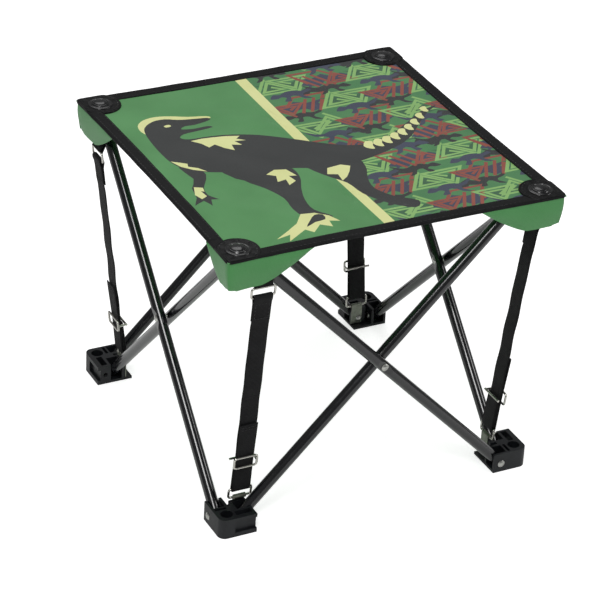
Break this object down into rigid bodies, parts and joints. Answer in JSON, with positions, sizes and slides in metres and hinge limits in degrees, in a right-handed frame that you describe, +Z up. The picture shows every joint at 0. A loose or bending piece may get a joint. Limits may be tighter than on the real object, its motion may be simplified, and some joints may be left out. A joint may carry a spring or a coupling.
{
  "type": "folding camp stool",
  "caption": "Folding camp stool: square cloth seat on scissor-crossed tubes, with moulded hubs, riveted pivots and adjustable corner straps.",
  "frame": {"origin": "on the ground under the middle of the seat", "axes": "+Z up, +X to the right and -Y to the front of the stool, along the sides of the seat"},
  "size_m": [0.37, 0.37, 0.3277],
  "materials": {
    "black_tube": "gloss",
    "rivet_steel": "satin",
    "black_plastic": "moulded",
    "tab_steel": "satin",
    "wire_steel": "bright",
    "black_webbing": "woven",
    "black_button": "gloss",
    "green_cloth": "woven"
  },
  "bodies": {
    "front_left_foot": {"front_left_foot": "black_plastic", "front_left_strap_tab": "tab_steel"},
    "front_left_hub": {"front_left_upper_hub": "black_plastic", "front_left_button": "black_button", "front_left_pocket": "green_cloth"},
    "front_left_strap_top": {"front_left_upper_ring": "wire_steel", "front_left_upper_webbing": "black_webbing"},
    "front_left_strap_bottom": {"front_left_lower_ring": "wire_steel", "front_left_lower_webbing": "black_webbing"},
    "front_left_slider": {"front_left_strap_slider": "wire_steel"},
    "front_right_foot": {"front_right_foot": "black_plastic", "front_right_strap_tab": "tab_steel"},
    "front_right_hub": {"front_right_upper_hub": "black_plastic", "front_right_button": "black_button", "front_right_pocket": "green_cloth"},
    "front_right_strap_top": {"front_right_upper_ring": "wire_steel", "front_right_upper_webbing": "black_webbing"},
    "front_right_strap_bottom": {"front_right_lower_ring": "wire_steel", "front_right_lower_webbing": "black_webbing"},
    "front_right_slider": {"front_right_strap_slider": "wire_steel"},
    "back_right_foot": {"back_right_foot": "black_plastic", "back_right_strap_tab": "tab_steel"},
    "back_right_hub": {"back_right_upper_hub": "black_plastic", "back_right_button": "black_button", "back_right_pocket": "green_cloth"},
    "back_right_strap_top": {"back_right_upper_ring": "wire_steel", "back_right_upper_webbing": "black_webbing"},
    "back_right_strap_bottom": {"back_right_lower_ring": "wire_steel", "back_right_lower_webbing": "black_webbing"},
    "back_right_slider": {"back_right_strap_slider": "wire_steel"},
    "back_left_foot": {"back_left_foot": "black_plastic", "back_left_strap_tab": "tab_steel"},
    "back_left_hub": {"back_left_upper_hub": "black_plastic", "back_left_button": "black_button", "back_left_pocket": "green_cloth"},
    "back_left_strap_top": {"back_left_upper_ring": "wire_steel", "back_left_upper_webbing": "black_webbing"},
    "back_left_strap_bottom": {"back_left_lower_ring": "wire_steel", "back_left_lower_webbing": "black_webbing"},
    "back_left_slider": {"back_left_strap_slider": "wire_steel"},
    "front_inner": {"front_inner_tube": "black_tube", "front_inner_rivets": "rivet_steel"},
    "front_outer": {"front_outer_tube": "black_tube", "front_outer_rivets": "rivet_steel"},
    "front_seat": {"front_seat_quarter": "green_cloth"},
    "right_inner": {"right_inner_tube": "black_tube", "right_inner_rivets": "rivet_steel"},
    "right_outer": {"right_outer_tube": "black_tube", "right_outer_rivets": "rivet_steel"},
    "right_seat": {"right_seat_quarter": "green_cloth"},
    "back_inner": {"back_inner_tube": "black_tube", "back_inner_rivets": "rivet_steel"},
    "back_outer": {"back_outer_tube": "black_tube", "back_outer_rivets": "rivet_steel"},
    "back_seat": {"back_seat_quarter": "green_cloth"},
    "left_inner": {"left_inner_tube": "black_tube", "left_inner_rivets": "rivet_steel"},
    "left_outer": {"left_outer_tube": "black_tube", "left_outer_rivets": "rivet_steel"},
    "left_seat": {"left_seat_quarter": "green_cloth"}
  },
  "joints": [
    {"name": "fold", "type": "hinge", "parent": "front_left_foot", "child": "front_inner", "pos_m": [-0.146, -0.1554, 0.0096], "axis": [0, -1, 0], "range_deg": [0, 32]},
    {"name": "front_crossing", "type": "hinge", "parent": "front_inner", "child": "front_outer", "pos_m": [0, -0.1617, 0.1588], "axis": [0, 1, 0], "range_deg": [0, 66]},
    {"name": "front_right_foot_pivot", "type": "hinge", "parent": "front_outer", "child": "front_right_foot", "pos_m": [0.146, -0.168, 0.0096], "axis": [0, -1, 0], "range_deg": [0, 33]},
    {"name": "front_left_hub_pivot", "type": "hinge", "parent": "front_outer", "child": "front_left_hub", "pos_m": [-0.146, -0.168, 0.308], "axis": [0, -1, 0], "range_deg": [0, 33], "deforming": ["front_left_pocket"]},
    {"name": "front_right_hub_pivot", "type": "hinge", "parent": "front_inner", "child": "front_right_hub", "pos_m": [0.146, -0.1554, 0.308], "axis": [0, 1, 0], "range_deg": [0, 33], "deforming": ["front_right_pocket"]},
    {"name": "left_foot_pivot", "type": "hinge", "parent": "front_left_foot", "child": "left_outer", "pos_m": [-0.168, -0.146, 0.0096], "axis": [1, 0, 0], "range_deg": [0, 33]},
    {"name": "left_crossing", "type": "hinge", "parent": "left_outer", "child": "left_inner", "pos_m": [-0.1617, 0, 0.1588], "axis": [-1, 0, 0], "range_deg": [0, 66]},
    {"name": "back_left_foot_pivot", "type": "hinge", "parent": "left_inner", "child": "back_left_foot", "pos_m": [-0.1554, 0.146, 0.0096], "axis": [1, 0, 0], "range_deg": [0, 33]},
    {"name": "back_left_hub_pivot", "type": "hinge", "parent": "left_outer", "child": "back_left_hub", "pos_m": [-0.168, 0.146, 0.308], "axis": [-1, 0, 0], "range_deg": [0, 33], "deforming": ["back_left_pocket"]},
    {"name": "right_foot_pivot", "type": "hinge", "parent": "front_right_foot", "child": "right_inner", "pos_m": [0.1554, -0.146, 0.0096], "axis": [1, 0, 0], "range_deg": [0, 33]},
    {"name": "right_crossing", "type": "hinge", "parent": "right_inner", "child": "right_outer", "pos_m": [0.1617, 0, 0.1588], "axis": [-1, 0, 0], "range_deg": [0, 66]},
    {"name": "back_right_foot_pivot", "type": "hinge", "parent": "right_outer", "child": "back_right_foot", "pos_m": [0.168, 0.146, 0.0096], "axis": [1, 0, 0], "range_deg": [0, 33]},
    {"name": "back_right_hub_pivot", "type": "hinge", "parent": "right_inner", "child": "back_right_hub", "pos_m": [0.1554, 0.146, 0.308], "axis": [-1, 0, 0], "range_deg": [0, 33], "deforming": ["back_right_pocket"]},
    {"name": "back_foot_pivot", "type": "hinge", "parent": "back_right_foot", "child": "back_inner", "pos_m": [0.146, 0.1554, 0.0096], "axis": [0, 1, 0], "range_deg": [0, 33]},
    {"name": "back_crossing", "type": "hinge", "parent": "back_inner", "child": "back_outer", "pos_m": [0, 0.1617, 0.1588], "axis": [0, -1, 0], "range_deg": [0, 66]},
    {"name": "front_seat_hinge", "type": "hinge", "parent": "front_left_hub", "child": "front_seat", "pos_m": [0, -0.185, 0.3208], "axis": [1, 0, 0], "range_deg": [0, 64.1], "deforming": ["front_seat_quarter"]},
    {"name": "front_left_upper_ring_swing", "type": "hinge", "parent": "front_left_hub", "child": "front_left_strap_top", "pos_m": [-0.143, -0.1786, 0.285], "axis": [-1, 0, 0], "range_deg": [0, 3], "deforming": ["front_left_upper_webbing"]},
    {"name": "front_left_lower_ring_swing", "type": "hinge", "parent": "front_left_foot", "child": "front_left_strap_bottom", "pos_m": [-0.143, -0.1465, 0.026], "axis": [-1, 0, 0], "range_deg": [0, 3], "deforming": ["front_left_lower_webbing"]},
    {"name": "front_left_slider_travel", "type": "slide", "parent": "front_left_strap_bottom", "child": "front_left_slider", "axis": [0, -0.123, 0.9924], "range_m": [0, 0.053]},
    {"name": "right_seat_hinge", "type": "hinge", "parent": "front_right_hub", "child": "right_seat", "pos_m": [0.185, 0, 0.3208], "axis": [0, 1, 0], "range_deg": [0, 64.1], "deforming": ["right_seat_quarter"]},
    {"name": "front_right_upper_ring_swing", "type": "hinge", "parent": "front_right_hub", "child": "front_right_strap_top", "pos_m": [0.1786, -0.143, 0.285], "axis": [0, -1, 0], "range_deg": [0, 3], "deforming": ["front_right_upper_webbing"]},
    {"name": "front_right_lower_ring_swing", "type": "hinge", "parent": "front_right_foot", "child": "front_right_strap_bottom", "pos_m": [0.1465, -0.143, 0.026], "axis": [0, -1, 0], "range_deg": [0, 3], "deforming": ["front_right_lower_webbing"]},
    {"name": "front_right_slider_travel", "type": "slide", "parent": "front_right_strap_bottom", "child": "front_right_slider", "axis": [0.123, 0, 0.9924], "range_m": [0, 0.053]},
    {"name": "back_seat_hinge", "type": "hinge", "parent": "back_right_hub", "child": "back_seat", "pos_m": [0, 0.185, 0.3208], "axis": [-1, 0, 0], "range_deg": [0, 64.1], "deforming": ["back_seat_quarter"]},
    {"name": "back_right_upper_ring_swing", "type": "hinge", "parent": "back_right_hub", "child": "back_right_strap_top", "pos_m": [0.143, 0.1786, 0.285], "axis": [1, 0, 0], "range_deg": [0, 3], "deforming": ["back_right_upper_webbing"]},
    {"name": "back_right_lower_ring_swing", "type": "hinge", "parent": "back_right_foot", "child": "back_right_strap_bottom", "pos_m": [0.143, 0.1465, 0.026], "axis": [1, 0, 0], "range_deg": [0, 3], "deforming": ["back_right_lower_webbing"]},
    {"name": "back_right_slider_travel", "type": "slide", "parent": "back_right_strap_bottom", "child": "back_right_slider", "axis": [0, 0.123, 0.9924], "range_m": [0, 0.053]},
    {"name": "left_seat_hinge", "type": "hinge", "parent": "back_left_hub", "child": "left_seat", "pos_m": [-0.185, 0, 0.3208], "axis": [0, -1, 0], "range_deg": [0, 64.1], "deforming": ["left_seat_quarter"]},
    {"name": "back_left_upper_ring_swing", "type": "hinge", "parent": "back_left_hub", "child": "back_left_strap_top", "pos_m": [-0.1786, 0.143, 0.285], "axis": [0, 1, 0], "range_deg": [0, 3], "deforming": ["back_left_upper_webbing"]},
    {"name": "back_left_lower_ring_swing", "type": "hinge", "parent": "back_left_foot", "child": "back_left_strap_bottom", "pos_m": [-0.1465, 0.143, 0.026], "axis": [0, 1, 0], "range_deg": [0, 3], "deforming": ["back_left_lower_webbing"]},
    {"name": "back_left_slider_travel", "type": "slide", "parent": "back_left_strap_bottom", "child": "back_left_slider", "axis": [-0.123, 0, 0.9924], "range_m": [0, 0.053]}
  ],
  "couplings": [
    {"joint": "front_crossing", "follows": "fold", "ratio": 2},
    {"joint": "front_right_foot_pivot", "follows": "fold", "ratio": 1},
    {"joint": "front_left_hub_pivot", "follows": "fold", "ratio": 1},
    {"joint": "front_right_hub_pivot", "follows": "fold", "ratio": 1},
    {"joint": "left_foot_pivot", "follows": "fold", "ratio": 1},
    {"joint": "left_crossing", "follows": "fold", "ratio": 2},
    {"joint": "back_left_foot_pivot", "follows": "fold", "ratio": 1},
    {"joint": "back_left_hub_pivot", "follows": "fold", "ratio": 1},
    {"joint": "right_foot_pivot", "follows": "fold", "ratio": 1},
    {"joint": "right_crossing", "follows": "fold", "ratio": 2},
    {"joint": "back_right_foot_pivot", "follows": "fold", "ratio": 1},
    {"joint": "back_right_hub_pivot", "follows": "fold", "ratio": 1},
    {"joint": "back_foot_pivot", "follows": "fold", "ratio": 1},
    {"joint": "back_crossing", "follows": "fold", "ratio": 2},
    {"joint": "front_seat_hinge", "follows": "fold", "ratio": 1.9713},
    {"joint": "front_left_upper_ring_swing", "follows": "fold", "ratio": 0.06516},
    {"joint": "front_left_lower_ring_swing", "follows": "fold", "ratio": 0.06516},
    {"joint": "front_left_slider_travel", "follows": "fold", "m_per_rad": 0.09311},
    {"joint": "right_seat_hinge", "follows": "fold", "ratio": 1.9713},
    {"joint": "front_right_upper_ring_swing", "follows": "fold", "ratio": 0.06516},
    {"joint": "front_right_lower_ring_swing", "follows": "fold", "ratio": 0.06516},
    {"joint": "front_right_slider_travel", "follows": "fold", "m_per_rad": 0.09311},
    {"joint": "back_seat_hinge", "follows": "fold", "ratio": 1.9713},
    {"joint": "back_right_upper_ring_swing", "follows": "fold", "ratio": 0.06516},
    {"joint": "back_right_lower_ring_swing", "follows": "fold", "ratio": 0.06516},
    {"joint": "back_right_slider_travel", "follows": "fold", "m_per_rad": 0.09311},
    {"joint": "left_seat_hinge", "follows": "fold", "ratio": 1.9713},
    {"joint": "back_left_upper_ring_swing", "follows": "fold", "ratio": 0.06516},
    {"joint": "back_left_lower_ring_swing", "follows": "fold", "ratio": 0.06516},
    {"joint": "back_left_slider_travel", "follows": "fold", "m_per_rad": 0.09311}
  ]
}
